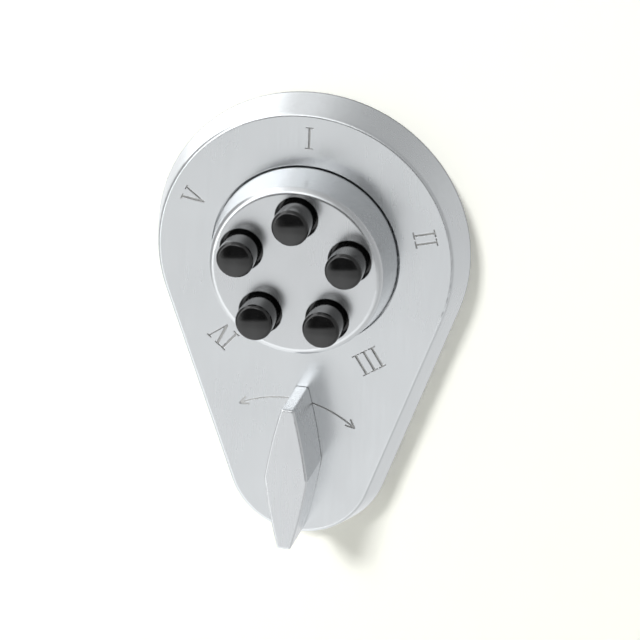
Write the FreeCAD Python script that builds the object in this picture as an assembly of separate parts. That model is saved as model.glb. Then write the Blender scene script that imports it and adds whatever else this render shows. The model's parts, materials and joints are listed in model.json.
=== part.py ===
import FreeCAD, Part
import math
import os

V = FreeCAD.Vector
os.makedirs("parts", exist_ok=True)

# Frame: X to the right, Z up, the front faces -Y and the door surface is Y = 0.
# The origin is on the axis of the button housing. A height is a distance in front of the door,
# so a height h lies at Y = -h, and what is behind the door surface has a negative height.

# Front plate, a hollow teardrop casting
PLATE_BORDER = 15.75
FOOT_R = 19.9
PLATE_DRAFT = 2.2
FRONT_WALL = 2.6
RIM_WALL = 2.4
PLATE_EDGE_R = 0.9
POST_GAP = 0.6
POST_R = 4.2
POST_HOLE_R = 2.1
POST_HOLE_DEPTH = 7.4
BOSS_R = 3.2

# Button housing, a round cap with a flange behind the plate
HUB_MARGIN = 3.5
HUB_TAPER = 1.55
HUB_HEIGHT = 11.05
HUB_FACE = 2.0
HUB_SIDE_WALL = 2.15
HUB_SKIRT = 2.25
HUB_EDGE_R = 1.6
HUB_GAP = 0.35
FLANGE_REACH = 2.35
FLANGE_T = 1.6
EAR_OUT = 1.3
EAR_R = 3.4
EAR_COUNT = 4

# Buttons and their keys
BUTTON_COUNT = 5
BUTTON_CIRCLE_R = 14.0
BUTTON_R = 4.6
BUTTON_GAP = 0.75
BUTTON_PROUD = 7.8
BUTTON_EDGE_R = 0.9
BUTTON_CROWN = 0.5
BUTTON_FLANGE_REACH = 0.95
BUTTON_FLANGE_T = 1.5
BUTTON_TRAVEL = 3.0
STEM_R = 1.9
STEM_IN_BUTTON = 4.3
ARM_T = 2.0
KEY_T = 2.4
KEY_BACK = 2.5
KEY_RACK_TAIL = 3.5
GUIDE_T = 2.0

# Gear teeth of the code wheels, the drive pinion and their racks
MODULE = 0.8
TEETH = 10
PRESSURE_ANGLE = math.radians(20.0)
ADDENDUM = 0.75
DEDENDUM = 1.1
BACKLASH = 0.3
KEY_RACK_TEETH = 4
SLIDE_RACK_TEETH = 6

# Chamber behind the housing
CASE_WALL = 1.2
SHAFT_DEPTH = 3.5
SHAFT_R = 1.5
COLLAR_R = 2.4
DISC_T = 1.2
GATE_DEPTH = 1.9
CODE = (False, True, False, True, False)

# Control slide, comb and centring springs
SLIDE_T = 1.6
SLIDE_W = 4.7
COMB_T = 1.4
FINGER_W = 0.8
FINGER_T = 1.3
COMB_TAB = 3.0
GUIDE_PIN_R = 1.05
GUIDE_HEAD_R = 1.9
GUIDE_PIN_REACH = 7.0
RIVET_R = 0.8
SPRING_CLEAR = 1.6
LUG_T = 1.2
LUG_REACH = 6.9
CENTRING_L = 9.0
CENTRING_COIL_R = 1.5
CENTRING_TURNS = 5.5
ANCHOR_T = 1.6

# Thumb turn
TURN_BELOW_LUG = 14.3
TURN_RISE = 2.0
TURN_LENGTH = 36.4
TURN_WIDTH = 10.7
TURN_TIP_W = 3.2
TURN_TIP_R = 0.8
TURN_BULGE = 0.3
TURN_HEIGHT = 15.2
TURN_EDGE_R = 0.5
TURN_RANGE = math.radians(50.0)
SPINDLE_R = 4.0
PINION_COLLAR = 1.0
PINION_WALL = 0.32
FLAT_DEPTH = 0.6
TAIL_END = 9.0
BUSH_WALL = 1.2
BUSH_FLANGE_REACH = 1.55
BUSH_FLANGE_T = 0.8
TAILPIECE_W = 6.4
TAILPIECE_T = 1.6
TAILPIECE_END = 38.0
TAIL_PIN_R = 0.8
CLIP_REACH = 1.8
CLIP_T = 0.7
CLIP_MOUTH = 3.5

# Back plate, screws and springs
BACK_T = 1.5
BACK_GAP = 0.15
SCREW_R = 1.5
SCREW_HEAD_R = 2.9
SCREW_LENGTH = 6.0
EAR_SCREW_R = 1.25
EAR_SCREW_HEAD_R = 2.2
EAR_SCREW_HEAD_T = 1.5
EAR_SCREW_BITE = 1.7
HEAD_CLEAR = 0.5
BUTTON_COIL_R = 2.8
BUTTON_COIL_TURNS = 3.5
WIRE = 0.45

# Clearances
SEAT = 0.02
RUNNING = 0.05
FACE_GAP = 0.2
SWING_GAP = 0.4

# Heights that follow, from the door outwards
slide_low = BACK_T + FACE_GAP
slide_top = slide_low + SLIDE_T
ear_low = BACK_T + HEAD_CLEAR + EAR_SCREW_HEAD_T
flange_low = ear_low + FLANGE_T
hollow_top = flange_low + FLANGE_T
plate_height = hollow_top + FRONT_WALL
arm_low = slide_top + SWING_GAP + BUTTON_TRAVEL
arm_top = arm_low + ARM_T
guide_low = arm_top + FACE_GAP
guide_top = guide_low + GUIDE_T
hub_top = plate_height + HUB_HEIGHT
hub_inside = hub_top - HUB_FACE
button_flange_top = hub_inside - FACE_GAP
button_flange_low = button_flange_top - BUTTON_FLANGE_T
button_top = hub_top + BUTTON_PROUD
stem_top = button_flange_low + STEM_IN_BUTTON
shaft_height = -SHAFT_DEPTH
knob_low = plate_height + FACE_GAP
spindle_low = slide_top + PINION_COLLAR
spring_height = (slide_low + hollow_top) / 2

# Radii that follow, from the buttons outwards
button_hole_r = BUTTON_R + BUTTON_GAP
button_flange_r = button_hole_r + BUTTON_FLANGE_REACH
hub_r = BUTTON_CIRCLE_R + button_hole_r + HUB_MARGIN
hub_top_r = hub_r - HUB_TAPER
hub_bore_r = hub_top_r - HUB_SIDE_WALL + HUB_TAPER / 4
flange_r = hub_r + FLANGE_REACH
ear_circle_r = flange_r + EAR_OUT
post_x = flange_r + POST_GAP + POST_R
plate_r = hub_r + PLATE_BORDER
case_r = hub_r - HUB_SKIRT - FACE_GAP
case_inside_r = case_r - CASE_WALL

# Gearing
pitch_r = MODULE * TEETH / 2
tip_r = pitch_r + ADDENDUM * MODULE
tooth_pitch = math.pi * MODULE
rack_root = DEDENDUM * MODULE
root_r = pitch_r - rack_root
tail_r = root_r - PINION_WALL
tail_flat = tail_r - FLAT_DEPTH
clip_r = tail_r + CLIP_REACH
bush_inner_r = SPINDLE_R + RUNNING
bush_outer_r = bush_inner_r + BUSH_WALL
key_rack_low = shaft_height - KEY_RACK_TAIL
key_back_z = pitch_r + KEY_BACK
case_floor = key_rack_low - BUTTON_TRAVEL - SWING_GAP
case_back = case_floor - CASE_WALL
slide_travel = pitch_r * TURN_RANGE
finger_front_z = -(tip_r + slide_travel + SWING_GAP)
finger_low = shaft_height - COLLAR_R / 2
comb_tab_z = finger_front_z - FINGER_T - COMB_TAB
slide_top_z = finger_front_z - RIVET_R

# Places down the plate
lug_z = -(flange_r + SPRING_CLEAR + ANCHOR_T + CENTRING_L + LUG_T / 2)
guide_pin_z = (lug_z + GUIDE_PIN_REACH, lug_z - GUIDE_PIN_REACH)
turn_z = lug_z - TURN_BELOW_LUG
arc_centres = TURN_RISE - turn_z
rim_lean = math.asin((plate_r - FOOT_R) / arc_centres)
screw_inset = RIM_WALL + PLATE_DRAFT + BOSS_R / 2
slide_right = -(pitch_r + rack_root)
slide_left = slide_right - SLIDE_W
slide_mid = (slide_left + slide_right) / 2
slide_foot_z = turn_z - tooth_pitch * (SLIDE_RACK_TEETH / 2 + 1)
spring_x = slide_left - LUG_REACH / 2 - CENTRING_COIL_R / 2
tail_pin_y = (TAIL_END + FACE_GAP + CLIP_T * 3) / 2


def cyl(radius, low, high, x=0.0, z=0.0):
    """Round bar along the depth, between two heights."""
    return Part.makeCylinder(radius, high - low, V(x, -high, z), V(0, 1, 0))


def block(left, right, low, high, bottom, top):
    """Rectangular block between two heights."""
    return Part.makeBox(right - left, high - low, top - bottom, V(left, -high, bottom))


def turned(profile):
    """Solid turned about the depth axis from (radius, height) points."""
    points = [V(radius, -height, 0) for radius, height in profile]
    return polygon_face(points).revolve(V(0, 0, 0), V(0, 1, 0), 360)


def plate_cut(outline, low, high):
    """Flat plate from (x, z) points, between two heights."""
    return polygon_face([V(x, -high, z) for x, z in outline]).extrude(V(0, high - low, 0))


def rim_corners(shrink, height):
    """Ends of the rim's two straight sides, clockwise from the upper right."""
    corners = []
    for side, radius, z in ((1, plate_r, 0.0), (1, FOOT_R, -arc_centres),
                            (-1, FOOT_R, -arc_centres), (-1, plate_r, 0.0)):
        reach = radius - shrink
        corners.append(V(side * reach * math.cos(rim_lean), -height, z - reach * math.sin(rim_lean)))
    return corners


def polygon_face(points):
    return Part.Face(Part.makePolygon(points + points[:1]))


def teardrop(shrink, height):
    """Closed outline of the two arcs and their common tangents."""
    upper_right, lower_right, lower_left, upper_left = rim_corners(shrink, height)
    over = Part.Arc(upper_right, V(0, -height, plate_r - shrink), upper_left).toShape()
    left = Part.LineSegment(upper_left, lower_left).toShape()
    under = Part.Arc(lower_left, V(0, -height, shrink - arc_centres - FOOT_R), lower_right).toShape()
    right = Part.LineSegment(lower_right, upper_right).toShape()
    return Part.Wire([over, left, under, right])


def drafted(inset, low, high):
    """Teardrop body with the rim's draft, drawn in by inset from the plate's outside."""
    shrink_low, shrink_high = [inset + PLATE_DRAFT * height / plate_height for height in (low, high)]
    lower, upper = rim_corners(shrink_low, low), rim_corners(shrink_high, high)
    faces = [polygon_face(lower), polygon_face(upper)]
    for i in range(len(lower)):
        j = (i + 1) % len(lower)
        faces.append(polygon_face([lower[i], lower[j], upper[j], upper[i]]))
    middle = Part.Solid(Part.makeShell(faces))
    if middle.Volume < 0:
        middle.reverse()
    ends = [Part.makeCone(radius - shrink_low, radius - shrink_high, high - low, V(0, -low, z), V(0, -1, 0))
            for radius, z in ((plate_r, 0.0), (FOOT_R, -arc_centres))]
    return middle.fuse(ends).removeSplitter()


def at_height(shape, height):
    """Edges that lie wholly at one height."""
    return [e for e in shape.Edges
            if abs(e.BoundBox.YMin + height) < 1e-4 and abs(e.BoundBox.YMax + height) < 1e-4]


def polar(radius, degrees):
    """Point (x, z) at an angle clockwise from straight up, as seen from the front."""
    angle = math.radians(degrees)
    return radius * math.sin(angle), radius * math.cos(angle)


def ear_spots():
    step = 360.0 / EAR_COUNT
    return [polar(ear_circle_r, step * (i + 0.5)) for i in range(EAR_COUNT)]


def screw_spots():
    """Bosses against the rim: top, bottom and half way down the straight sides."""
    z = -arc_centres / 2
    x = (plate_r - screw_inset + z * math.sin(rim_lean)) / math.cos(rim_lean)
    return [(0.0, plate_r - screw_inset), (0.0, screw_inset - arc_centres - FOOT_R), (x, z), (-x, z)]


def post_spots():
    return [(post_x, 0.0), (-post_x, 0.0)]


def button_spot(index):
    return polar(BUTTON_CIRCLE_R, 360.0 / BUTTON_COUNT * index)


def helix_spring(coil_r, length, turns):
    """Closed coil of square wire along local Z, its ends inside the given length."""
    rise = length - WIRE
    path = Part.makeHelix(rise / turns, rise, coil_r)
    half = WIRE / 2
    corners = [V(coil_r - half, 0, -half), V(coil_r + half, 0, -half),
               V(coil_r + half, 0, half), V(coil_r - half, 0, half)]
    section = Part.makePolygon(corners + corners[:1])
    coil = Part.Wire(path).makePipeShell([section], True, True)
    coil.translate(V(0, 0, half))
    return coil


def gear(thickness):
    """Involute gear along local Z, with a tooth gap on the local X axis."""
    base_r = pitch_r * math.cos(PRESSURE_ANGLE)
    half_tooth = math.pi / (2 * TEETH) - BACKLASH / (2 * pitch_r)

    def involute(radius):
        roll = math.acos(min(1.0, base_r / radius))
        return math.tan(roll) - roll

    def flank(radius):
        return half_tooth + involute(pitch_r) - involute(max(radius, base_r))

    def spot(radius, angle):
        return V(radius * math.cos(angle), radius * math.sin(angle), 0)

    edges = []
    step = 2 * math.pi / TEETH
    middle_r = (base_r + tip_r) / 2
    for i in range(TEETH):
        mid = (i + 0.5) * step
        low, high = mid - flank(base_r), mid + flank(base_r)
        edges.append(Part.LineSegment(spot(root_r, low), spot(base_r, low)).toShape())
        edges.append(Part.Arc(spot(base_r, low), spot(middle_r, mid - flank(middle_r)),
                              spot(tip_r, mid - flank(tip_r))).toShape())
        edges.append(Part.Arc(spot(tip_r, mid - flank(tip_r)), spot(tip_r, mid),
                              spot(tip_r, mid + flank(tip_r))).toShape())
        edges.append(Part.Arc(spot(tip_r, mid + flank(tip_r)), spot(middle_r, mid + flank(middle_r)),
                              spot(base_r, high)).toShape())
        edges.append(Part.LineSegment(spot(base_r, high), spot(root_r, high)).toShape())
        next_low = mid + step - flank(base_r)
        edges.append(Part.Arc(spot(root_r, high), spot(root_r, mid + step / 2),
                              spot(root_r, next_low)).toShape())
    return Part.Face(Part.Wire(edges)).extrude(V(0, 0, thickness))


def rack_teeth(first, count):
    """Points (along, out) of rack teeth, out measured from the pitch line; tooth 0 is centred on 0."""
    half = tooth_pitch / 4 - BACKLASH / 2
    slope = math.tan(PRESSURE_ANGLE)
    top, bottom = ADDENDUM * MODULE, -rack_root
    points = []
    for i in range(first, first + count):
        centre = i * tooth_pitch
        points += [(centre - half + bottom * slope, bottom), (centre - half + top * slope, top),
                   (centre + half - top * slope, top), (centre + half - bottom * slope, bottom)]
    return points


def front_plate():
    body = drafted(0.0, 0.0, plate_height)
    body = body.makeFillet(PLATE_EDGE_R, at_height(body, plate_height))
    body = body.cut(drafted(RIM_WALL, 0.0, hollow_top))
    inside = drafted(RIM_WALL / 2, 0.0, hollow_top + FRONT_WALL / 2)
    posts = [cyl(POST_R, 0.0, hollow_top + FRONT_WALL / 2, x, z) for x, z in post_spots()]
    bosses = [cyl(BOSS_R, BACK_T, hollow_top + FRONT_WALL / 2, x, z)
              for x, z in screw_spots()]
    anchors = []
    for side in (1, -1):
        near = lug_z + side * (LUG_T / 2 + CENTRING_L)
        far = near + side * ANCHOR_T
        anchors.append(block(spring_x - CENTRING_COIL_R - WIRE, spring_x + CENTRING_COIL_R + WIRE,
                             slide_low + FACE_GAP, hollow_top + FRONT_WALL / 2,
                             min(near, far), max(near, far)))
    body = body.fuse([part.common(inside) for part in posts + bosses + anchors])
    body = body.cut(cyl(hub_r + HUB_GAP, 0.0, plate_height + 1))
    body = body.cut(cyl(bush_outer_r + SEAT, 0.0, plate_height + 1, 0.0, turn_z))
    holes = [cyl(POST_HOLE_R, -1.0, POST_HOLE_DEPTH, x, z) for x, z in post_spots()]
    holes += [countersunk(x, z, SEAT, SCREW_LENGTH + FACE_GAP) for x, z in screw_spots()]
    holes += [cyl(EAR_SCREW_R + SEAT, 0.0, hollow_top + EAR_SCREW_BITE + FACE_GAP, x, z)
              for x, z in ear_spots()]
    return body.cut(holes).removeSplitter()


def eared_flange(low, high):
    flange = cyl(flange_r, low, high)
    ears = [cyl(EAR_R, low, high, x, z) for x, z in ear_spots()]
    return flange.fuse(ears).removeSplitter()


def button_housing():
    body = turned([(0, hub_top), (hub_top_r, hub_top), (hub_r, plate_height),
                   (hub_r, flange_low), (0, flange_low)])
    body = body.makeFillet(HUB_EDGE_R, at_height(body, hub_top))
    body = body.fuse(eared_flange(flange_low, hollow_top)).removeSplitter()
    body = body.cut(cyl(case_r + FACE_GAP, flange_low - 1, guide_top))
    body = body.cut(cyl(hub_bore_r, flange_low - 1, hub_inside))
    holes = [cyl(button_hole_r, hub_inside - 1, hub_top + 1, *button_spot(i))
             for i in range(BUTTON_COUNT)]
    holes += [cyl(EAR_SCREW_R + FACE_GAP, flange_low - 1, hollow_top + 1, x, z)
              for x, z in ear_spots()]
    return body.cut(holes)


def guide_plate():
    body = cyl(case_r, guide_low, guide_top)
    holes = [cyl(STEM_R + RUNNING, guide_low - 1, guide_top + 1, *button_spot(i))
             for i in range(BUTTON_COUNT)]
    return body.cut(holes)


def chamber_case():
    cup = cyl(case_r, case_back, guide_low).fuse(eared_flange(ear_low, flange_low))
    cup = cup.cut(cyl(case_inside_r, case_floor, guide_low + 1))
    shaft_bore = Part.makeCylinder(SHAFT_R + SEAT, 2 * case_r + 2,
                                   V(-case_r - 1, -shaft_height, 0), V(1, 0, 0))
    slot = block(slide_left - FACE_GAP, slide_right + FACE_GAP, slide_low - FACE_GAP / 2,
                 slide_top + FACE_GAP / 2, -flange_r - 1, -case_inside_r / 2)
    holes = [cyl(EAR_SCREW_R + FACE_GAP, ear_low - 1, flange_low + 1, x, z) for x, z in ear_spots()]
    return cup.cut([shaft_bore, slot] + holes).removeSplitter()


def back_plate():
    inset = RIM_WALL + PLATE_DRAFT * BACK_T / plate_height + BACK_GAP
    body = Part.Face(teardrop(inset, 0.0)).extrude(V(0, -BACK_T, 0))
    cuts = [cyl(case_r + FACE_GAP, -1.0, BACK_T + 1), cyl(tail_r + RUNNING, -1.0, BACK_T + 1, 0.0, turn_z)]
    cuts += [cyl(POST_R + FACE_GAP, -1.0, BACK_T + 1, x, z) for x, z in post_spots()]
    cuts += [cyl(GUIDE_PIN_R + SEAT, -1.0, BACK_T + 1, slide_mid, z) for z in guide_pin_z]
    cuts += [countersunk(x, z, SEAT, BACK_T + 1) for x, z in screw_spots()]
    return body.cut(cuts)


def countersunk(x, z, extra, length):
    """Countersunk head flush with the door surface and its shank."""
    shank = cyl(SCREW_R + extra, 0.0, length, x, z)
    drop = SCREW_HEAD_R - SCREW_R
    head = Part.makeCone(SCREW_R + extra, SCREW_HEAD_R + extra, drop, V(x, -drop, z), V(0, 1, 0))
    return shank.fuse(head)


def button(index):
    x, z = button_spot(index)
    crown_r = (BUTTON_R ** 2 + BUTTON_CROWN ** 2) / (2 * BUTTON_CROWN)
    crown = Part.makeSphere(crown_r, V(x, crown_r - button_top, z))
    body = cyl(BUTTON_R, button_flange_low, button_top, x, z).common(crown)
    body = body.makeFillet(BUTTON_EDGE_R, at_height(body, button_top - BUTTON_CROWN))
    flange = cyl(button_flange_r, button_flange_low, button_flange_top, x, z)
    flange = flange.common(cyl(hub_bore_r - FACE_GAP, button_flange_low, button_flange_top))
    bore = cyl(STEM_R + SEAT, button_flange_low - 1, stem_top + SEAT, x, z)
    return body.fuse(flange).cut(bore).removeSplitter()


def key(index):
    """Stem under the button, arm across to the lane of the code wheel, and the rack."""
    x, z = button_spot(index)
    stem = cyl(STEM_R, arm_low, stem_top, x, z)
    arm_ends = (z - STEM_R, z + STEM_R, pitch_r + rack_root, key_back_z)
    arm = block(x - KEY_T / 2, x + KEY_T / 2, arm_low, arm_top, min(arm_ends), max(arm_ends))
    outline = [(shaft_height + along, pitch_r - out) for along, out in rack_teeth(-1, KEY_RACK_TEETH)]
    root_z = pitch_r + rack_root
    outline = [(key_rack_low, root_z)] + [p for p in outline if p[0] > key_rack_low] + [(arm_top, root_z)]
    outline += [(arm_top, key_back_z), (key_rack_low, key_back_z)]
    points = [V(x - KEY_T / 2, -height, depth) for height, depth in outline]
    rack = polygon_face(points).extrude(V(KEY_T, 0, 0))
    return stem.fuse([arm, rack]).removeSplitter()


def button_spring(index):
    x, z = button_spot(index)
    coil = helix_spring(BUTTON_COIL_R, button_flange_low - guide_top, BUTTON_COIL_TURNS)
    coil.rotate(V(0, 0, 0), V(1, 0, 0), 90)
    coil.translate(V(x, -guide_top, z))
    return coil


def wheel_lane(index):
    """Left end, right end, gear start and disc start of one code wheel along the shaft."""
    lanes = sorted(button_spot(i)[0] for i in range(BUTTON_COUNT))
    x = button_spot(index)[0]
    place = lanes.index(x)
    gear_start = x - KEY_T / 2
    disc_start = gear_start - DISC_T if x > 0 else gear_start + KEY_T
    shaft_end = math.sqrt(case_inside_r ** 2 - COLLAR_R ** 2) - FACE_GAP

    def boundary(i):
        """Border between lane i and the next; beside two lanes of one side it allows for the inner disc."""
        if i < 0:
            return -shaft_end
        if i >= BUTTON_COUNT - 1:
            return shaft_end
        middle = (lanes[i] + lanes[i + 1]) / 2
        if lanes[i] * lanes[i + 1] > 0:
            middle -= math.copysign(DISC_T / 2, lanes[i])
        return middle

    return boundary(place - 1) + FACE_GAP / 2, boundary(place) - FACE_GAP / 2, gear_start, disc_start


def code_wheel(index):
    """Gear, code disc with its gate, and collars that keep the lane, bored for the shaft."""
    left, right, gear_start, disc_start = wheel_lane(index)
    body = gear(KEY_T)
    body.rotate(V(0, 0, 0), V(0, 0, 1), 180)
    body.rotate(V(0, 0, 0), V(0, 1, 0), 90)
    body.translate(V(gear_start, 0, 0))
    axis = V(1, 0, 0)
    disc = Part.makeCylinder(tip_r, DISC_T, V(disc_start, 0, 0), axis)
    gate = Part.makeBox(DISC_T, 2 * FINGER_T, GATE_DEPTH, V(disc_start, -FINGER_T, -tip_r))
    if CODE[index]:
        gate.rotate(V(0, 0, 0), axis, math.degrees(BUTTON_TRAVEL / pitch_r))
    collar = Part.makeCylinder(COLLAR_R, right - left, V(left, 0, 0), axis)
    body = body.fuse([disc.cut(gate), collar])
    body = body.cut(Part.makeCylinder(SHAFT_R + RUNNING, right - left + 2, V(left - 1, 0, 0), axis))
    body.translate(V(0, -shaft_height, 0))
    return body.removeSplitter()


def wheel_shaft():
    return Part.makeCylinder(SHAFT_R, 2 * case_r - 2 * FACE_GAP,
                             V(-case_r + FACE_GAP, -shaft_height, 0), V(1, 0, 0))


def control_slide():
    """Flat bar with a rack beside the pinion, two guide slots and a lug for the centring springs."""
    teeth = rack_teeth(-SLIDE_RACK_TEETH // 2, SLIDE_RACK_TEETH + 1)
    rack = [(out - pitch_r, turn_z + along) for along, out in teeth]
    outline = [(slide_right, slide_foot_z)] + rack + [(slide_right, slide_top_z)]
    outline += [(slide_left, slide_top_z), (slide_left, slide_foot_z)]
    body = plate_cut(outline, slide_low, slide_top)
    foot = block(slide_left - LUG_REACH, slide_mid, slide_low, slide_top,
                 lug_z - LUG_T / 2, lug_z + LUG_T / 2)
    tab = block(slide_left - LUG_REACH, slide_left - FACE_GAP, slide_low, hollow_top - SWING_GAP,
                lug_z - LUG_T / 2, lug_z + LUG_T / 2)
    body = body.fuse([foot, tab]).removeSplitter()
    reach = slide_travel + GUIDE_PIN_R + FACE_GAP
    slot_r = GUIDE_PIN_R + RUNNING
    for z in guide_pin_z:
        body = body.cut(block(slide_mid - slot_r, slide_mid + slot_r, slide_low - 1, slide_top + 1,
                              z - reach, z + reach))
    return body.cut([cyl(RIVET_R + SEAT, slide_low - 1, slide_top + 1, x, z) for x, z in rivet_spots()])


def rivet_spots():
    z = (finger_front_z - FINGER_T + comb_tab_z) / 2
    return [(slide_mid - SLIDE_W / 4, z), (slide_mid + SLIDE_W / 4, z)]


def finger_middle(index):
    disc_start = wheel_lane(index)[3]
    return disc_start + DISC_T / 2


def locking_comb():
    """Plate under the control slide with one finger down beside each code disc."""
    middles = sorted(finger_middle(i) for i in range(BUTTON_COUNT))
    left, right = middles[0] - FINGER_W, middles[-1] + FINGER_W
    back_z = finger_front_z - FINGER_T
    outline = [(left, finger_front_z), (right, finger_front_z), (right, back_z), (slide_right, back_z),
               (slide_right, comb_tab_z), (slide_left, comb_tab_z), (slide_left, back_z), (left, back_z)]
    plate = plate_cut(outline, slide_low - COMB_T, slide_low)
    fingers = [block(x - FINGER_W / 2, x + FINGER_W / 2, finger_low, slide_low - COMB_T / 2,
                     back_z, finger_front_z) for x in middles]
    body = plate.fuse(fingers).removeSplitter()
    holes = [cyl(RIVET_R + SEAT, slide_low - COMB_T - 1, slide_low + 1, x, z) for x, z in rivet_spots()]
    return body.cut(holes)


def comb_rivets():
    return [cyl(RIVET_R, slide_low - COMB_T, slide_top, x, z) for x, z in rivet_spots()]


def guide_rivets():
    rivets = []
    for z in guide_pin_z:
        shank = cyl(GUIDE_PIN_R, 0.0, slide_top + FACE_GAP, slide_mid, z)
        head_low = slide_top + FACE_GAP
        head = cyl(GUIDE_HEAD_R, head_low, head_low + GUIDE_PIN_R, slide_mid, z)
        rivets.append(shank.fuse(head).removeSplitter())
    return rivets


def centring_spring(side):
    """Spring between the slide's lug and the anchor above it (side 1) or below it (side -1)."""
    coil = helix_spring(CENTRING_COIL_R, CENTRING_L, CENTRING_TURNS)
    low = lug_z + LUG_T / 2 if side > 0 else lug_z - LUG_T / 2 - CENTRING_L
    coil.translate(V(spring_x, -spring_height, low))
    return coil


def knob_outline(height):
    """Six-sided outline: flat ends, and four long sides that bulge a little."""
    half_l, half_w, tip = TURN_LENGTH / 2, TURN_WIDTH / 2, TURN_TIP_W / 2
    bulge = V(half_l, 0, half_w - tip).normalize() * TURN_BULGE
    edges = []
    for x, z in ((1, 1), (1, -1), (-1, -1), (-1, 1)):
        end, side = V(x * tip, -height, turn_z + z * half_l), V(x * half_w, -height, turn_z)
        first, last = (end, side) if x == z else (side, end)
        middle = (end + side) * 0.5 + V(x * bulge.x, 0, z * bulge.z)
        edges.append(Part.Arc(first, middle, last).toShape())
    over = Part.LineSegment(edges[3].Vertexes[-1].Point, edges[0].Vertexes[0].Point).toShape()
    under = Part.LineSegment(edges[1].Vertexes[-1].Point, edges[2].Vertexes[0].Point).toShape()
    return Part.Wire([edges[0], edges[1], under, edges[2], edges[3], over])


def thumb_turn():
    """Six-sided knob with its spindle, flats for the pinion, clip groove and tailpiece slot."""
    knob = Part.Face(knob_outline(knob_low)).extrude(V(0, -TURN_HEIGHT, 0))
    ends = [e for e in knob.Edges if e.BoundBox.YLength > TURN_HEIGHT / 2
            and abs(e.CenterOfMass.z - turn_z) > TURN_LENGTH / 4]
    knob = knob.makeFillet(TURN_TIP_R, ends)
    knob = knob.makeFillet(TURN_EDGE_R, at_height(knob, knob_low + TURN_HEIGHT))
    spindle = cyl(SPINDLE_R, spindle_low, knob_low + TURN_EDGE_R, 0.0, turn_z)
    tail = cyl(tail_r, -TAIL_END, spindle_low + TURN_EDGE_R, 0.0, turn_z)
    flats = tail_flats(slide_low, spindle_low, 0.0)
    tail = tail.cut(cyl(tail_r + 1, slide_low, spindle_low, 0.0, turn_z)).fuse(flats)
    groove = cyl(tail_r + 1, -FACE_GAP - CLIP_T, -FACE_GAP, 0.0, turn_z)
    groove = groove.cut(cyl(tail_flat, -FACE_GAP - CLIP_T, -FACE_GAP, 0.0, turn_z))
    slot = block(-tail_r - 1, tail_r + 1, -TAIL_END - 1, -FACE_GAP - CLIP_T * 3,
                 turn_z - TAILPIECE_T / 2 - SEAT, turn_z + TAILPIECE_T / 2 + SEAT)
    pin_hole = Part.makeCylinder(TAIL_PIN_R + SEAT, 2 * tail_r + 2,
                                 V(0, tail_pin_y, turn_z - tail_r - 1), V(0, 0, 1))
    return knob.fuse([spindle, tail]).cut([groove, slot, pin_hole]).removeSplitter()


def tail_flats(low, high, extra):
    """Round bar with two flats, the seat of the drive pinion."""
    bar = cyl(tail_r + extra, low, high, 0.0, turn_z)
    return bar.common(block(-tail_flat - extra, tail_flat + extra, low, high,
                            turn_z - tail_r - 1, turn_z + tail_r + 1))


def drive_pinion():
    body = gear(SLIDE_T + FACE_GAP)
    body.rotate(V(0, 0, 0), V(0, 0, 1), 180)
    body.rotate(V(0, 0, 0), V(1, 0, 0), 90)
    body.translate(V(0, -slide_low, turn_z))
    collar = cyl(root_r + (tip_r - root_r) / 3, slide_top, spindle_low, 0.0, turn_z)
    return body.fuse(collar).cut(tail_flats(slide_low - 1, spindle_low + 1, SEAT)).removeSplitter()


def turn_bush():
    low = hollow_top - BUSH_FLANGE_T
    sleeve = cyl(bush_outer_r, low, plate_height, 0.0, turn_z)
    flange = cyl(bush_outer_r + BUSH_FLANGE_REACH, low, hollow_top, 0.0, turn_z)
    bore = cyl(bush_inner_r, 0.0, plate_height + 1, 0.0, turn_z)
    return sleeve.fuse(flange).cut(bore).removeSplitter()


def retaining_clip():
    """Open ring in the spindle's groove, behind the back plate."""
    low, high = -FACE_GAP - CLIP_T + SEAT, -FACE_GAP - SEAT
    ring = cyl(clip_r, low, high, 0.0, turn_z).cut(cyl(tail_flat + SEAT, low, high, 0.0, turn_z))
    return ring.cut(block(-CLIP_MOUTH / 2, CLIP_MOUTH / 2, low, high, turn_z - clip_r - 1, turn_z))


def tailpiece():
    """Flat bar in the spindle's slot, with a pointed free end."""
    half_w, start = TAILPIECE_W / 2, FACE_GAP + CLIP_T * 3 + FACE_GAP
    shoulder = TAILPIECE_END - TAILPIECE_W / 2
    narrow = tail_r - FACE_GAP
    outline = [(-narrow, start), (narrow, start), (narrow, TAIL_END), (half_w, TAIL_END + tail_r),
               (half_w, shoulder), (half_w / 2, TAILPIECE_END), (-half_w / 2, TAILPIECE_END),
               (-half_w, shoulder), (-half_w, TAIL_END + tail_r), (-narrow, TAIL_END)]
    points = [V(x, y, turn_z - TAILPIECE_T / 2) for x, y in outline]
    body = polygon_face(points).extrude(V(0, 0, TAILPIECE_T))
    hole = Part.makeCylinder(TAIL_PIN_R + SEAT, TAILPIECE_T + 2,
                             V(0, tail_pin_y, turn_z - TAILPIECE_T / 2 - 1), V(0, 0, 1))
    return body.cut(hole)


def tailpiece_pin():
    length = 2 * tail_r - 2 * FACE_GAP
    return Part.makeCylinder(TAIL_PIN_R, length, V(0, tail_pin_y, turn_z - length / 2), V(0, 0, 1))


def chamber_screws():
    screws = []
    for x, z in ear_spots():
        head = cyl(EAR_SCREW_HEAD_R, ear_low - EAR_SCREW_HEAD_T, ear_low, x, z)
        slot = block(x - EAR_SCREW_HEAD_R, x + EAR_SCREW_HEAD_R, ear_low - EAR_SCREW_HEAD_T,
                     ear_low - EAR_SCREW_HEAD_T / 2, z - FACE_GAP, z + FACE_GAP)
        shank = cyl(EAR_SCREW_R, ear_low, hollow_top + EAR_SCREW_BITE, x, z)
        screws.append(head.cut(slot).fuse(shank).removeSplitter())
    return screws


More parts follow.
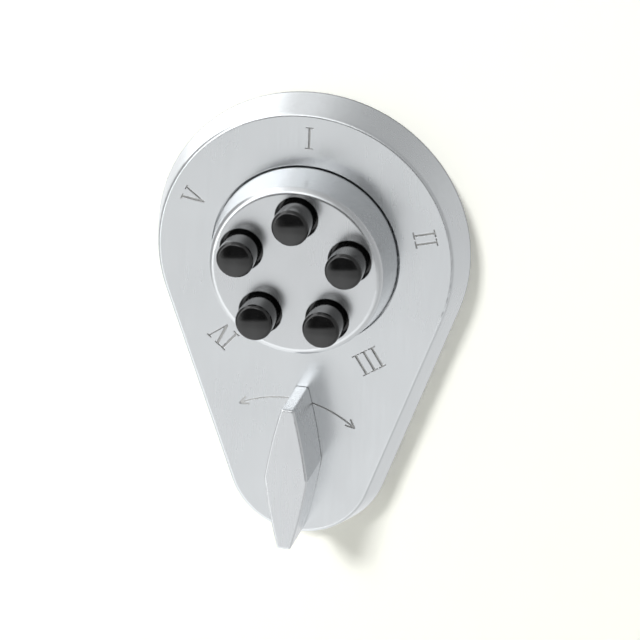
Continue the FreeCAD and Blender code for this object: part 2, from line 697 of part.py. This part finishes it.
def back_plate_screws():
    screws = []
    for x, z in screw_spots():
        slot = block(x - SCREW_HEAD_R, x + SCREW_HEAD_R, 0.0, BACK_T / 2, z - FACE_GAP, z + FACE_GAP)
        screws.append(countersunk(x, z, 0.0, SCREW_LENGTH).cut(slot))
    return screws


def save(name, shape):
    solids = shape if isinstance(shape, list) else [shape]
    for solid in solids:
        if not solid.isValid() or len(solid.Solids) != 1:
            raise ValueError("%s is not one valid solid" % name)
    shape = Part.makeCompound(solids) if len(solids) > 1 else solids[0].Solids[0]
    shape.exportStep("parts/%s.step" % name)


save("front_plate", front_plate())
save("back_plate", back_plate())
save("button_housing", button_housing())
save("guide_plate", guide_plate())
save("chamber_case", chamber_case())
save("wheel_shaft", wheel_shaft())
save("turn_bush", turn_bush())
save("guide_rivets", guide_rivets())
save("chamber_screws", chamber_screws())
save("back_plate_screws", back_plate_screws())
save("control_slide", control_slide())
save("locking_comb", locking_comb())
save("comb_rivets", comb_rivets())
save("centring_spring_upper", centring_spring(1))
save("centring_spring_lower", centring_spring(-1))
save("thumb_turn", thumb_turn())
save("drive_pinion", drive_pinion())
save("retaining_clip", retaining_clip())
save("tailpiece", tailpiece())
save("tailpiece_pin", tailpiece_pin())
for number in range(BUTTON_COUNT):
    label = number + 1
    save("button_%d" % label, button(number))
    save("key_%d" % label, key(number))
    save("button_spring_%d" % label, button_spring(number))
    save("code_wheel_%d" % label, code_wheel(number))
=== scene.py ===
import json
import math
import bmesh
import bpy
from mathutils import Matrix, Vector


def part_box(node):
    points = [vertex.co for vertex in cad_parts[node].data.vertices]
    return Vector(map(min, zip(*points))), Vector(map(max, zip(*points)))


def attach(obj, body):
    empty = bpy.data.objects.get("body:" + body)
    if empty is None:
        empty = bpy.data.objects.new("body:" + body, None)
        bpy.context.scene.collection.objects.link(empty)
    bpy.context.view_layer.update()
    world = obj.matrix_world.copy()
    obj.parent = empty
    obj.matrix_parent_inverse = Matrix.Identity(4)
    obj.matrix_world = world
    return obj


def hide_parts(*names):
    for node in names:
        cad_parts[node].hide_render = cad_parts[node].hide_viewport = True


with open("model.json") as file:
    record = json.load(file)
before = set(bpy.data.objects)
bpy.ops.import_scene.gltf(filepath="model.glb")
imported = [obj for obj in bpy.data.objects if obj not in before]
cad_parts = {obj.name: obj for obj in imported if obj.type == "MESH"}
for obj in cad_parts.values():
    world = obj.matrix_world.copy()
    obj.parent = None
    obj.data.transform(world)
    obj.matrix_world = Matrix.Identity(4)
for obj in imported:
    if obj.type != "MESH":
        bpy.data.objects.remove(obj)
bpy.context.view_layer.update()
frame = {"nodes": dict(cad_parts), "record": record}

MM = 0.001

# Camera: the photo's direction, in degrees, and its scale
AZIMUTH = 12.6
ELEVATION = 22.5
ROLL = 1.6
PICTURE_PX = 640
PX_PER_MM = 4.158
HUB_PX = (314.4, 241.4)
LENS = 900.0
SENSOR = 36.0

# Engraving in the plate's face
ENGRAVE_DEPTH = 0.25 * MM
NUMERAL_R = 30.3 * MM
NUMERAL_H = 5.6 * MM
NUMERAL_PITCH = 2.3 * MM
FIVE_PITCHES = 1.6
NUMERALS = (("I", 0.3), ("II", 75.3), ("III", 147.3), ("IV", 220.3), ("V", 293.3))
ARROW_CENTRE = (-3.5 * MM, -63.7 * MM)
ARROW_R = 26.3 * MM
ARROW_FROM = -26.5
ARROW_TO = 39.5
ARROW_W = 0.36 * MM
ARROW_HEAD = 2.4 * MM
ARROW_STEPS = 40
BARB_ANGLE = 26
BARB_HALF_WIDTH = 0.6 * ARROW_W

# Shading of the engraved plate: what counts as its flat face, and where an edge is sharp
WELD = 0.0005 * MM
FACE_TOLERANCE = 0.01 * MM
SHARP_ANGLE = math.radians(28.0)
FLAT_COS = math.cos(math.radians(1.0))
EDGE_COS = math.cos(SHARP_ANGLE)

# Satin plating: streaks to the metre along each axis, strength of the bump, width of the edges rubbed by wear
# and of the painted shade along the foot at the door, and the tone of each against the plating's own colour
GRAIN = (900.0, 900.0, 90.0)
FINE_GRAIN = tuple(3.0 * streaks for streaks in GRAIN)
GRAIN_DEPTH = 0.0025
GRAIN_TONES = (0.98, 1.012)
GRAIN_ROUGHNESS = 0.012
GRAIN_RELIEF = 0.0002
CLOUD_SCALE = 38.0
CLOUD_TONE = 0.93
CLOUD_SHARE = 0.35
CLOUD_ROUGHNESS = (-0.02, 0.03)
WORN_EDGE = 0.25 * MM
WORN_TONE = 1.07
WORN_SHARE = 0.6
WORN_GLOSS = 0.08
# Painted shade: the plating is darkened along its foot where it meets the door, a painted contact shadow line
FOOT_SHADE_REACH = 0.5 * MM
FOOT_SHADE_TONE = 0.25
FOOT_SHADE_SHARE = 0.6

# Black plastic: scale and tones of the haze on it, its roughness, its pores and its refractive index
HAZE_SCALE = 420.0
SCUFF_SCALE = 90.0
PORE_SCALE = 1500.0
PORE_DEPTH = 0.04
PLASTIC_TONES = (0.003, 0.007)
PLASTIC_TINT = (1.0, 1.0, 1.06)
PLASTIC_ROUGHNESS = (0.08, 0.13)
SCUFF_ROUGHNESS = 0.05
PLASTIC_IOR = 1.6

# Zinc plated sheet, wire and machined pieces: cloudy plating over rolled grain
PLATING_SCALE = 70.0
PLATING_TONES = (0.9, 1.08)
PLATING_ROUGHNESS = 0.07
ROLLED_GRAIN = (900.0, 60.0, 60.0)
ROLLED_ROUGHNESS = 0.03
ROLLED_DEPTH = 0.05
FINE_RELIEF = 0.0001

# Engraved strokes: darkest and palest tone, for the plain strokes and for the half of the arrow painted paler,
# as if it caught more light
STROKE_TONES = (0.40, 0.56)
PAINTED_LIT_STROKE_TONES = (0.62, 0.74)
STROKE_TINT = (1.0, 1.0, 0.98)
STROKE_GRIME_SCALE = 900.0
STROKE_METALLIC = 0.85
STROKE_ROUGHNESS = 0.5

# Stage: the backdrop lies just in front of the door surface and fades out beyond WALL_FADE
WALL_R = 0.34
WALL_FADE = (0.14, 0.2)
WALL_AT = (0.0, 0.00005, -0.017)
FLOOR_R = 2.0
FLOOR_Z = -0.16
PAPER = (1.0, 1.0, 0.945)
PAPER_GLOW = 0.04
MOTTLE_SCALE = 60.0
MOTTLE_TINT = 0.99

# The studio as metal and plastic reflect it: its brightness from left to right, how that changes
# forward, upward and beside, and its bright and dark fields, each with its strength and its limits
STUDIO = ((0.0, 0.42), (0.07, 0.46), (0.13, 0.84), (0.25, 0.92), (0.4, 1.04), (0.5, 0.80), (0.6, 0.63),
          (0.75, 0.56), (1.0, 0.56))
BESIDE_GAIN = 0.2
FORWARD_LOSS = 0.02
UPWARD_LOSS = 0.16
TWIST_LOSS = 0.06
RAISED_SLOPE = 0.2
TILTED_SLOPE = 0.12
WINDOW = (1.1, (("X", -0.35, -0.55), ("raised", -0.3, -0.05), ("X", -0.86, -0.72)))
EDGE_GLEAM = (0.28, (("X", -0.38, -0.52), ("X", -0.84, -0.76), ("Y", 0.0, -0.4)))
LOW_GLEAM = (0.3, (("Z", -0.42, -0.5), ("Y", -0.5, -0.7)))
DARK_BAND = (0.95, (("tilted", -0.32, -0.27), ("tilted", 0.24, 0.14), ("X", -0.50, -0.42), ("X", 0.30, 0.16),
                    ("Y", -0.6, -0.75)))
LAMP_SPOT = 1.05
LAMP_WAY = (-0.15, -0.92, 0.36)
LAMP_EDGE = (0.96, 0.99)

# The studio's even light on matt surfaces, and its two lamps: place, aim, size and power
AMBIENT = 0.31
AMBIENT_COLOUR = (0.97, 0.98, 1.0, 1.0)
REFLECTED_COLOUR = (0.985, 0.995, 1.0, 1.0)
KEY = ((-0.58, -1.1, 0.50), (0.0, 0.0, -0.02), 0.26, 11.6)
GLINT = ((-0.9, -1.3, 1.1), (0.0, 0.0, 0.0), 0.18, 0.4)
CAMERA_CLIP = (0.1, 100.0)

scene = bpy.context.scene
FACE_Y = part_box("front_plate")[0].y


class Nodes:
    """Short way to build a node tree."""

    def __init__(self, tree):
        self.tree = tree
        tree.nodes.clear()

    def add(self, kind, inputs=None, **props):
        """New node with its properties set, and its inputs set or linked."""
        node = self.tree.nodes.new(kind)
        for key, value in props.items():
            setattr(node, key, value)
        for key, value in (inputs or {}).items():
            self.set(node.inputs[key], value)
        return node

    def set(self, socket, value):
        if isinstance(value, bpy.types.NodeSocket):
            self.tree.links.new(value, socket)
        else:
            socket.default_value = value

    def math(self, operation, a, b=0.0):
        node = self.add("ShaderNodeMath", operation=operation)
        self.set(node.inputs[0], a)
        self.set(node.inputs[1], b)
        return node.outputs[0]

    def dot(self, a, b):
        return self.add("ShaderNodeVectorMath", {0: a, 1: b}, operation="DOT_PRODUCT").outputs["Value"]

    def ramp(self, value, from_min, from_max, to_min, to_max):
        node = self.add("ShaderNodeMapRange", {"Value": value, "From Min": from_min, "From Max": from_max,
                                               "To Min": to_min, "To Max": to_max})
        return node.outputs["Result"]

    def blend(self, factor, a, b):
        """Mix of two colours: the node's factor and its two colour sockets."""
        node = self.add("ShaderNodeMix", data_type="RGBA")
        self.set(node.inputs[0], factor)
        self.set(node.inputs[6], a)
        self.set(node.inputs[7], b)
        return node.outputs[2]

    def noise(self, scale, stretch=(1.0, 1.0, 1.0), detail=3.0, roughness=0.5):
        """Noise fixed to the object: scale counts its features to the metre, times the stretch of each axis."""
        place = self.add("ShaderNodeTexCoord").outputs["Object"]
        spread = self.add("ShaderNodeMapping", {"Vector": place, "Scale": stretch})
        node = self.add("ShaderNodeTexNoise", {"Vector": spread.outputs[0], "Scale": scale, "Detail": detail,
                                               "Roughness": roughness})
        return node.outputs["Fac"]


def new_material(name):
    mat = bpy.data.materials.new(name)
    mat.use_nodes = True
    return mat, Nodes(mat.node_tree)


def grey(level, tint=(1.0, 1.0, 1.0)):
    return (level * tint[0], level * tint[1], level * tint[2], 1.0)


def satin_metal(name, colour, roughness):
    """Plated casting: fine upright brushing, cloudy polish, lighter edges rubbed by wear, painted shade along
    the foot at the door.
    """
    mat, n = new_material(name)
    streaks = n.noise(1.0, stretch=GRAIN, detail=1.0)
    fine = n.noise(1.0, stretch=FINE_GRAIN, detail=1.0)
    cloud = n.noise(CLOUD_SCALE, detail=3.0)
    rounded = n.add("ShaderNodeBevel", {"Radius": WORN_EDGE}, samples=4)
    flat = n.add("ShaderNodeNewGeometry").outputs["Normal"]
    paler = n.ramp(n.dot(rounded.outputs[0], flat), 0.995, 0.90, 0.0, 1.0)
    base = n.blend(n.ramp(streaks, 0.3, 0.7, 0.0, 1.0), *(grey(tone, colour) for tone in GRAIN_TONES))
    base = n.blend(n.ramp(cloud, 0.35, 0.7, 0.0, CLOUD_SHARE), base, grey(CLOUD_TONE, colour))
    base = n.blend(n.math("MULTIPLY", paler, WORN_SHARE), base, grey(WORN_TONE, colour))
    # Painted shade: darker along the foot, within a sliver of the door, standing in for a contact shadow
    depth = n.add("ShaderNodeSeparateXYZ", {0: n.add("ShaderNodeTexCoord").outputs["Object"]}).outputs["Y"]
    tone_mix = n.ramp(depth, -FOOT_SHADE_REACH, -0.2 * FOOT_SHADE_REACH, 0.0, FOOT_SHADE_SHARE)
    base = n.blend(tone_mix, base, grey(FOOT_SHADE_TONE, colour))
    rough = n.math("ADD", n.ramp(streaks, 0.2, 0.8, roughness - GRAIN_ROUGHNESS, roughness + GRAIN_ROUGHNESS),
                   n.ramp(cloud, 0.3, 0.7, *CLOUD_ROUGHNESS))
    rough = n.math("SUBTRACT", rough, n.math("MULTIPLY", paler, WORN_GLOSS))
    bump = n.add("ShaderNodeBump", {"Strength": GRAIN_DEPTH, "Distance": GRAIN_RELIEF, "Height": fine,
                                    "Normal": rounded.outputs[0]})
    shader = n.add("ShaderNodeBsdfPrincipled", {"Base Color": base, "Metallic": 1.0, "Roughness": rough,
                                                "Normal": bump.outputs[0]})
    n.add("ShaderNodeOutputMaterial", {"Surface": shader.outputs[0]})
    return mat


def black_plastic(name):
    """Glossy moulded plastic, with slight handling haze on the ends."""
    mat, n = new_material(name)
    haze = n.noise(HAZE_SCALE, detail=4.0)
    scuff = n.noise(SCUFF_SCALE, stretch=(1.0, 1.0, 3.0), detail=2.0)
    base = n.blend(n.ramp(haze, 0.35, 0.75, 0.0, 1.0), grey(PLASTIC_TONES[0]),
                   grey(PLASTIC_TONES[1], PLASTIC_TINT))
    rough = n.math("ADD", n.ramp(haze, 0.3, 0.7, *PLASTIC_ROUGHNESS),
                   n.ramp(scuff, 0.5, 0.8, 0.0, SCUFF_ROUGHNESS))
    pores = n.noise(PORE_SCALE, detail=2.0)
    bump = n.add("ShaderNodeBump", {"Strength": PORE_DEPTH, "Distance": FINE_RELIEF, "Height": pores})
    shader = n.add("ShaderNodeBsdfPrincipled", {"Base Color": base, "Roughness": rough, "IOR": PLASTIC_IOR,
                                                "Normal": bump.outputs[0]})
    n.add("ShaderNodeOutputMaterial", {"Surface": shader.outputs[0]})
    return mat


def engraving(name, dark, pale):
    """Floor and sides of the cut strokes: duller than the face, with random dirt from dark to pale."""
    mat, n = new_material(name)
    tone_mix = n.noise(STROKE_GRIME_SCALE, detail=3.0)
    base = n.blend(n.ramp(tone_mix, 0.3, 0.7, 0.0, 1.0), grey(dark), grey(pale, STROKE_TINT))
    shader = n.add("ShaderNodeBsdfPrincipled", {"Base Color": base, "Metallic": STROKE_METALLIC,
                                                "Roughness": STROKE_ROUGHNESS})
    n.add("ShaderNodeOutputMaterial", {"Surface": shader.outputs[0]})
    return mat


def sheet_metal(name, colour, roughness):
    """Sheet, screws, springs and machined pieces: rolled grain under cloudy plating."""
    mat, n = new_material(name)
    cloud = n.noise(PLATING_SCALE, detail=5.0, roughness=0.6)
    grain = n.noise(1.0, stretch=ROLLED_GRAIN, detail=3.0)
    base = n.blend(n.ramp(cloud, 0.3, 0.7, 0.0, 1.0), *(grey(tone, colour) for tone in PLATING_TONES))
    cloudy = n.ramp(cloud, 0.3, 0.7, roughness - PLATING_ROUGHNESS, roughness + PLATING_ROUGHNESS)
    rough = n.math("ADD", cloudy, n.ramp(grain, 0.3, 0.7, -ROLLED_ROUGHNESS, ROLLED_ROUGHNESS))
    bump = n.add("ShaderNodeBump", {"Strength": ROLLED_DEPTH, "Distance": FINE_RELIEF, "Height": grain})
    shader = n.add("ShaderNodeBsdfPrincipled", {"Base Color": base, "Metallic": 1.0, "Roughness": rough,
                                                "Normal": bump.outputs[0]})
    n.add("ShaderNodeOutputMaterial", {"Surface": shader.outputs[0]})
    return mat


def paint_nodes():
    """Gives each carried-over CAD node the finish of its slot."""
    finish = {
        "plate_satin": satin_metal("plate_satin_finish", (0.79, 0.81, 0.825), 0.26),
        "housing_satin": satin_metal("housing_satin_finish", (0.75, 0.765, 0.78), 0.25),
        "turn_satin": satin_metal("turn_satin_finish", (0.80, 0.815, 0.83), 0.27),
        "button_black": black_plastic("button_black_finish"),
        "plated_steel": sheet_metal("plated_steel_finish", (0.66, 0.67, 0.64), 0.38),
        "screw_steel": sheet_metal("screw_steel_finish", (0.62, 0.63, 0.64), 0.28),
        "spring_steel": sheet_metal("spring_steel_finish", (0.42, 0.42, 0.43), 0.32),
        "bronze": sheet_metal("bronze_finish", (0.75, 0.56, 0.30), 0.30),
    }
    slots = {part["node"]: part["material_slot"] for part in frame["record"]["subparts"]}
    for name, node in frame["nodes"].items():
        for i in range(len(node.material_slots)):
            node.material_slots[i].material = finish[slots[name]]
    return finish


def letter_one(x):
    """Outline of a Roman one, centred on x, in units of its height."""
    stem, serif, bar, half = 0.048, 0.17, 0.05, 0.5
    right = [(stem, half - bar), (serif, half - bar), (serif, half), (-serif, half)]
    left = [(-serif, half - bar), (-stem, half - bar), (-stem, bar - half), (-serif, bar - half)]
    foot = [(-serif, -half), (serif, -half), (serif, bar - half), (stem, bar - half)]
    return [(x + px, pz) for px, pz in right + left + foot]


def letter_five(x):
    """Outline of a Roman five, centred on x, in units of its height: thick left, thin right stroke."""
    half, bar = 0.5, 0.05
    outside = [(0.27, half - bar), (0.35, half - bar), (0.35, half), (0.12, half), (0.12, half - bar)]
    inside = [(0.21, half - bar), (0.025, -0.28), (-0.18, half - bar), (-0.11, half - bar), (-0.11, half)]
    rest = [(-0.37, half), (-0.37, half - bar), (-0.29, half - bar), (-0.035, -half), (0.035, -half)]
    return [(x + px, pz) for px, pz in outside + inside + rest]


def numeral_outlines(text):
    """Outlines of one numeral in units of its height, spaced about its middle."""
    pitch = NUMERAL_PITCH / NUMERAL_H
    widths = [FIVE_PITCHES * pitch if sign == "V" else pitch for sign in text]
    start = -sum(widths) / 2
    outlines = []
    for sign, width in zip(text, widths):
        middle = start + width / 2
        outlines.append(letter_five(middle) if sign == "V" else letter_one(middle))
        start += width
    return outlines


def arrow_outlines():
    """The arc's halves and the two barbs at each end, each with 1 where it is painted paler, as if lit more,
    else 0.
    """
    def spot(radius, degrees):
        angle = math.radians(degrees)
        return (ARROW_CENTRE[0] + radius * math.sin(angle), ARROW_CENTRE[1] + radius * math.cos(angle))

    angles = [ARROW_FROM + (ARROW_TO - ARROW_FROM) * i / ARROW_STEPS for i in range(ARROW_STEPS + 1)]
    half = ARROW_STEPS // 2
    outlines = []
    for run, paler in ((angles[:half + 1], 1), (angles[half:], 0)):
        outer = [spot(ARROW_R + ARROW_W / 2, a) for a in run]
        inner = [spot(ARROW_R - ARROW_W / 2, a) for a in reversed(run)]
        outlines.append((outer + inner, paler))
    for end, way in ((ARROW_FROM, 1), (ARROW_TO, -1)):
        tip = Vector(spot(ARROW_R, end))
        along = (Vector(spot(ARROW_R, end + way)) - tip).normalized()
        for side in (BARB_ANGLE, -BARB_ANGLE):
            barb = Matrix.Rotation(math.radians(side), 2) @ along
            across = Vector((-barb.y, barb.x)) * BARB_HALF_WIDTH
            foot = tip + barb * ARROW_HEAD
            corners = (tip - across, foot - across, foot + across, tip + across)
            outlines.append(([tuple(corner) for corner in corners], int(end == ARROW_FROM)))
    return outlines


def prism(bm, outline, front, back, slot=0):
    """Closed prism between two depths over an (x, z) outline."""
    near = [bm.verts.new((x, front, z)) for x, z in outline]
    far = [bm.verts.new((x, back, z)) for x, z in outline]
    faces = [bm.faces.new(near), bm.faces.new(list(reversed(far)))]
    for i in range(len(outline)):
        j = (i + 1) % len(outline)
        faces.append(bm.faces.new((near[j], near[i], far[i], far[j])))
    for face in faces:
        face.material_index = slot


def engraving_cutter(materials):
    """The prisms of all strokes in one object, with the materials that the cuts take."""
    bm = bmesh.new()
    front, back = FACE_Y - MM, FACE_Y + ENGRAVE_DEPTH
    for text, clock in NUMERALS:
        angle = math.radians(clock)
        out = Vector((math.sin(angle), math.cos(angle)))
        along = Vector((out.y, -out.x))
        for outline in numeral_outlines(text):
            spots = [out * (NUMERAL_R + pz * NUMERAL_H) + along * (px * NUMERAL_H) for px, pz in outline]
            prism(bm, [tuple(s) for s in spots], front, back)
    # The arrow's left half and its barbs take the second, paler material: painted light
    for outline, paler in arrow_outlines():
        prism(bm, outline, front, back, paler)
    bmesh.ops.recalc_face_normals(bm, faces=bm.faces)
    mesh = bpy.data.meshes.new("engraving_cutter")
    bm.to_mesh(mesh)
    bm.free()
    for material in materials:
        mesh.materials.append(material)
    cutter = bpy.data.objects.new("engraving_cutter", mesh)
    scene.collection.objects.link(cutter)
    return cutter


def even_face(mesh):
    """Makes the flat face shade flat right up to the strokes and the rounded edge of the plate."""
    front = Vector((0.0, -1.0, 0.0))
    flat_spots = set()
    for face in mesh.polygons:
        if face.normal.dot(front) > FLAT_COS and abs(face.center.y - FACE_Y) < FACE_TOLERANCE:
            flat_spots.update(face.vertices)
    normals = []
    for face in mesh.polygons:
        faces_front = face.normal.dot(front) > EDGE_COS
        for corner in face.loop_indices:
            spot = mesh.loops[corner].vertex_index
            flat = faces_front and spot in flat_spots
            normals.append(front if flat else mesh.corner_normals[corner].vector)
    mesh.normals_split_custom_set([tuple(n) for n in normals])


def engraved_plate(finish):
    """The plate's own form with the numerals and the arrow arc cut into its face."""
    source = frame["nodes"]["front_plate"]
    bm = bmesh.new()
    bm.from_mesh(source.data)
    bmesh.ops.remove_doubles(bm, verts=bm.verts, dist=WELD)
    bmesh.ops.recalc_face_normals(bm, faces=bm.faces)
    mesh = bpy.data.meshes.new("engraved_plate")
    bm.to_mesh(mesh)
    bm.free()
    mesh.materials.append(finish["plate_satin"])
    plate = bpy.data.objects.new("engraved_plate", mesh)
    scene.collection.objects.link(plate)
    stroke = engraving("engraved_stroke", *STROKE_TONES)
    # Painted light: a paler copy of the stroke material, for the half of the arrow that stands as more lit
    painted_lit_stroke = engraving("engraved_stroke_painted_lit", *PAINTED_LIT_STROKE_TONES)
    cutter = engraving_cutter((stroke, painted_lit_stroke))
    cut = plate.modifiers.new("engrave", "BOOLEAN")
    cut.object = cutter
    cut.solver = "EXACT"
    cut.use_self = True
    cut.material_mode = "TRANSFER"
    made = bpy.data.meshes.new_from_object(plate.evaluated_get(bpy.context.evaluated_depsgraph_get()))
    plate.modifiers.clear()
    plate.data = made
    bpy.data.objects.remove(cutter)
    made.shade_smooth()
    made.set_sharp_from_angle(angle=SHARP_ANGLE)
    even_face(made)
    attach(plate, "unit")
    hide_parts("front_plate")
    return plate


def paper(name, fade=None):
    """White paper that keeps the object's shadow; from behind, and beyond the fade, it isn't there."""
    mat, n = new_material(name)
    path = n.add("ShaderNodeLightPath")
    seen = n.math("MAXIMUM", path.outputs["Is Camera Ray"], path.outputs["Is Glossy Ray"])
    seen = n.math("MAXIMUM", seen, path.outputs["Is Transmission Ray"])
    mottle = n.noise(MOTTLE_SCALE, detail=2.0)
    colour = n.blend(mottle, (*PAPER, 1.0), (PAPER[0], PAPER[1], PAPER[2] * MOTTLE_TINT, 1.0))
    matt = n.add("ShaderNodeBsdfDiffuse", {"Color": colour})
    glow = n.add("ShaderNodeEmission", {"Color": colour, "Strength": n.math("MULTIPLY", seen, PAPER_GLOW)})
    surface = n.add("ShaderNodeAddShader", {0: matt.outputs[0], 1: glow.outputs[0]}).outputs[0]
    if fade:
        clear = n.add("ShaderNodeBsdfTransparent")
        place = n.add("ShaderNodeTexCoord").outputs["Object"]
        reach = n.add("ShaderNodeVectorMath", {0: place}, operation="LENGTH").outputs["Value"]
        gone = n.ramp(reach, fade[0], fade[1], 0.0, 1.0)
        behind = n.add("ShaderNodeNewGeometry").outputs["Backfacing"]
        gone = n.math("MAXIMUM", gone, behind)
        surface = n.add("ShaderNodeMixShader", {0: gone, 1: surface, 2: clear.outputs[0]}).outputs[0]
    n.add("ShaderNodeOutputMaterial", {"Surface": surface})
    return mat


def disc_object(name, radius, material, place, normal):
    """Flat disc of the stage, which the metal doesn't reflect."""
    bm = bmesh.new()
    bmesh.ops.create_circle(bm, cap_ends=True, radius=radius, segments=64)
    mesh = bpy.data.meshes.new(name)
    bm.to_mesh(mesh)
    bm.free()
    mesh.materials.append(material)
    obj = bpy.data.objects.new(name, mesh)
    obj.location = place
    obj.rotation_euler = Vector(normal).to_track_quat("Z", "Y").to_euler()
    scene.collection.objects.link(obj)
    obj.visible_glossy = False


def field(n, ways, strength, limits):
    """A field of the studio: full past each limit's second number, and nothing before its first."""
    level = strength
    for way, start, full in limits:
        level = n.math("MULTIPLY", level, n.ramp(ways[way], start, full, 0.0, 1.0))
    return level


def studio_level(n, direction):
    """Brightness of the studio in each direction, as metal and plastic reflect it."""
    axis = n.add("ShaderNodeSeparateXYZ", {0: direction}).outputs
    ways = {"X": axis["X"], "Y": axis["Y"], "Z": axis["Z"]}
    ways["raised"] = n.math("SUBTRACT", axis["Z"], n.math("MULTIPLY", axis["Y"], RAISED_SLOPE))
    ways["tilted"] = n.math("SUBTRACT", axis["Z"], n.math("MULTIPLY", axis["X"], TILTED_SLOPE))

    across = n.add("ShaderNodeValToRGB", {"Fac": n.ramp(axis["X"], -1.0, 1.0, 0.0, 1.0)})
    stops = across.color_ramp.elements
    stops[0].position, stops[1].position = STUDIO[0][0], STUDIO[-1][0]
    stops[0].color, stops[1].color = grey(STUDIO[0][1]), grey(STUDIO[-1][1])
    for position, tone in STUDIO[1:-1]:
        stops.new(position).color = grey(tone)

    beside = n.math("MULTIPLY", n.math("ABSOLUTE", axis["X"]), BESIDE_GAIN)
    forward = n.math("MULTIPLY", axis["Y"], n.math("SUBTRACT", beside, FORWARD_LOSS))
    level = n.math("ADD", across.outputs["Color"], forward)
    level = n.math("SUBTRACT", level, n.math("MULTIPLY", axis["Z"], UPWARD_LOSS))
    twist = n.math("MULTIPLY", axis["Y"], axis["Z"])
    level = n.math("SUBTRACT", level, n.math("MULTIPLY", twist, TWIST_LOSS))
    for bright in (WINDOW, EDGE_GLEAM, LOW_GLEAM):
        level = n.math("ADD", level, field(n, ways, *bright))
    level = n.math("MULTIPLY", level, n.math("SUBTRACT", 1.0, field(n, ways, *DARK_BAND)))
    return n.math("ADD", level, n.ramp(n.dot(direction, LAMP_WAY), *LAMP_EDGE, 0.0, LAMP_SPOT))


def studio_world():
    """Even white light for matt surfaces, the studio for reflections, plain paper behind everything."""
    world = bpy.data.worlds.new("studio")
    world.use_nodes = True
    scene.world = world
    n = Nodes(world.node_tree)
    path = n.add("ShaderNodeLightPath").outputs
    direction = n.add("ShaderNodeTexCoord").outputs["Generated"]
    ambient = n.add("ShaderNodeBackground", {"Color": AMBIENT_COLOUR, "Strength": AMBIENT})
    level = studio_level(n, direction)
    glossy = n.add("ShaderNodeBackground", {"Color": REFLECTED_COLOUR, "Strength": level})
    shown = n.add("ShaderNodeBackground", {"Color": (*PAPER, 1.0), "Strength": 1.0})
    mixed = n.add("ShaderNodeMixShader", {0: path["Is Glossy Ray"], 1: ambient.outputs[0],
                                          2: glossy.outputs[0]})
    seen = n.math("MAXIMUM", path["Is Camera Ray"], path["Is Transmission Ray"])
    final = n.add("ShaderNodeMixShader", {0: seen, 1: mixed.outputs[0], 2: shown.outputs[0]})
    n.add("ShaderNodeOutputWorld", {"Surface": final.outputs[0]})


def softbox(name, place, aim, size, power):
    """Square lamp with one even face."""
    data = bpy.data.lights.new(name, "AREA")
    data.shape = "SQUARE"
    data.size = size
    data.energy = power
    lamp = bpy.data.objects.new(name, data)
    lamp.location = place
    lamp.rotation_euler = (Vector(aim) - Vector(place)).to_track_quat("-Z", "Y").to_euler()
    scene.collection.objects.link(lamp)
    return lamp


def photo_camera():
    """Long lens from the photo's direction, placed so that the housing's centre lands on its pixel."""
    a, e, roll = (math.radians(v) for v in (AZIMUTH, ELEVATION, ROLL))
    back = Vector((math.sin(a) * math.cos(e), -math.cos(a) * math.cos(e), math.sin(e)))
    turn = (-back).to_track_quat("-Z", "Y") @ Matrix.Rotation(roll, 3, "Z").to_quaternion()
    right, up = turn @ Vector((1, 0, 0)), turn @ Vector((0, 1, 0))
    px = MM / PX_PER_MM
    middle = PICTURE_PX / 2
    target = right * (middle - HUB_PX[0]) * px - up * (middle - HUB_PX[1]) * px
    data = bpy.data.cameras.new("camera")
    data.lens = LENS
    data.sensor_width = SENSOR
    camera = bpy.data.objects.new("camera", data)
    camera.rotation_mode = "QUATERNION"
    camera.rotation_quaternion = turn
    camera.location = target + back * (PICTURE_PX * px * LENS / SENSOR)
    data.clip_start, data.clip_end = CAMERA_CLIP
    scene.collection.objects.link(camera)
    scene.camera = camera


finish = paint_nodes()
engraved_plate(finish)
disc_object("backdrop", WALL_R, paper("backdrop_paper", WALL_FADE), WALL_AT, (0.0, -1.0, 0.0))
disc_object("floor", FLOOR_R, paper("floor_paper"), (0.0, 0.0, FLOOR_Z), (0.0, 0.0, 1.0))
studio_world()
softbox("key", *KEY).visible_glossy = False
softbox("glint", *GLINT)
photo_camera()
scene.view_settings.view_transform = "Standard"
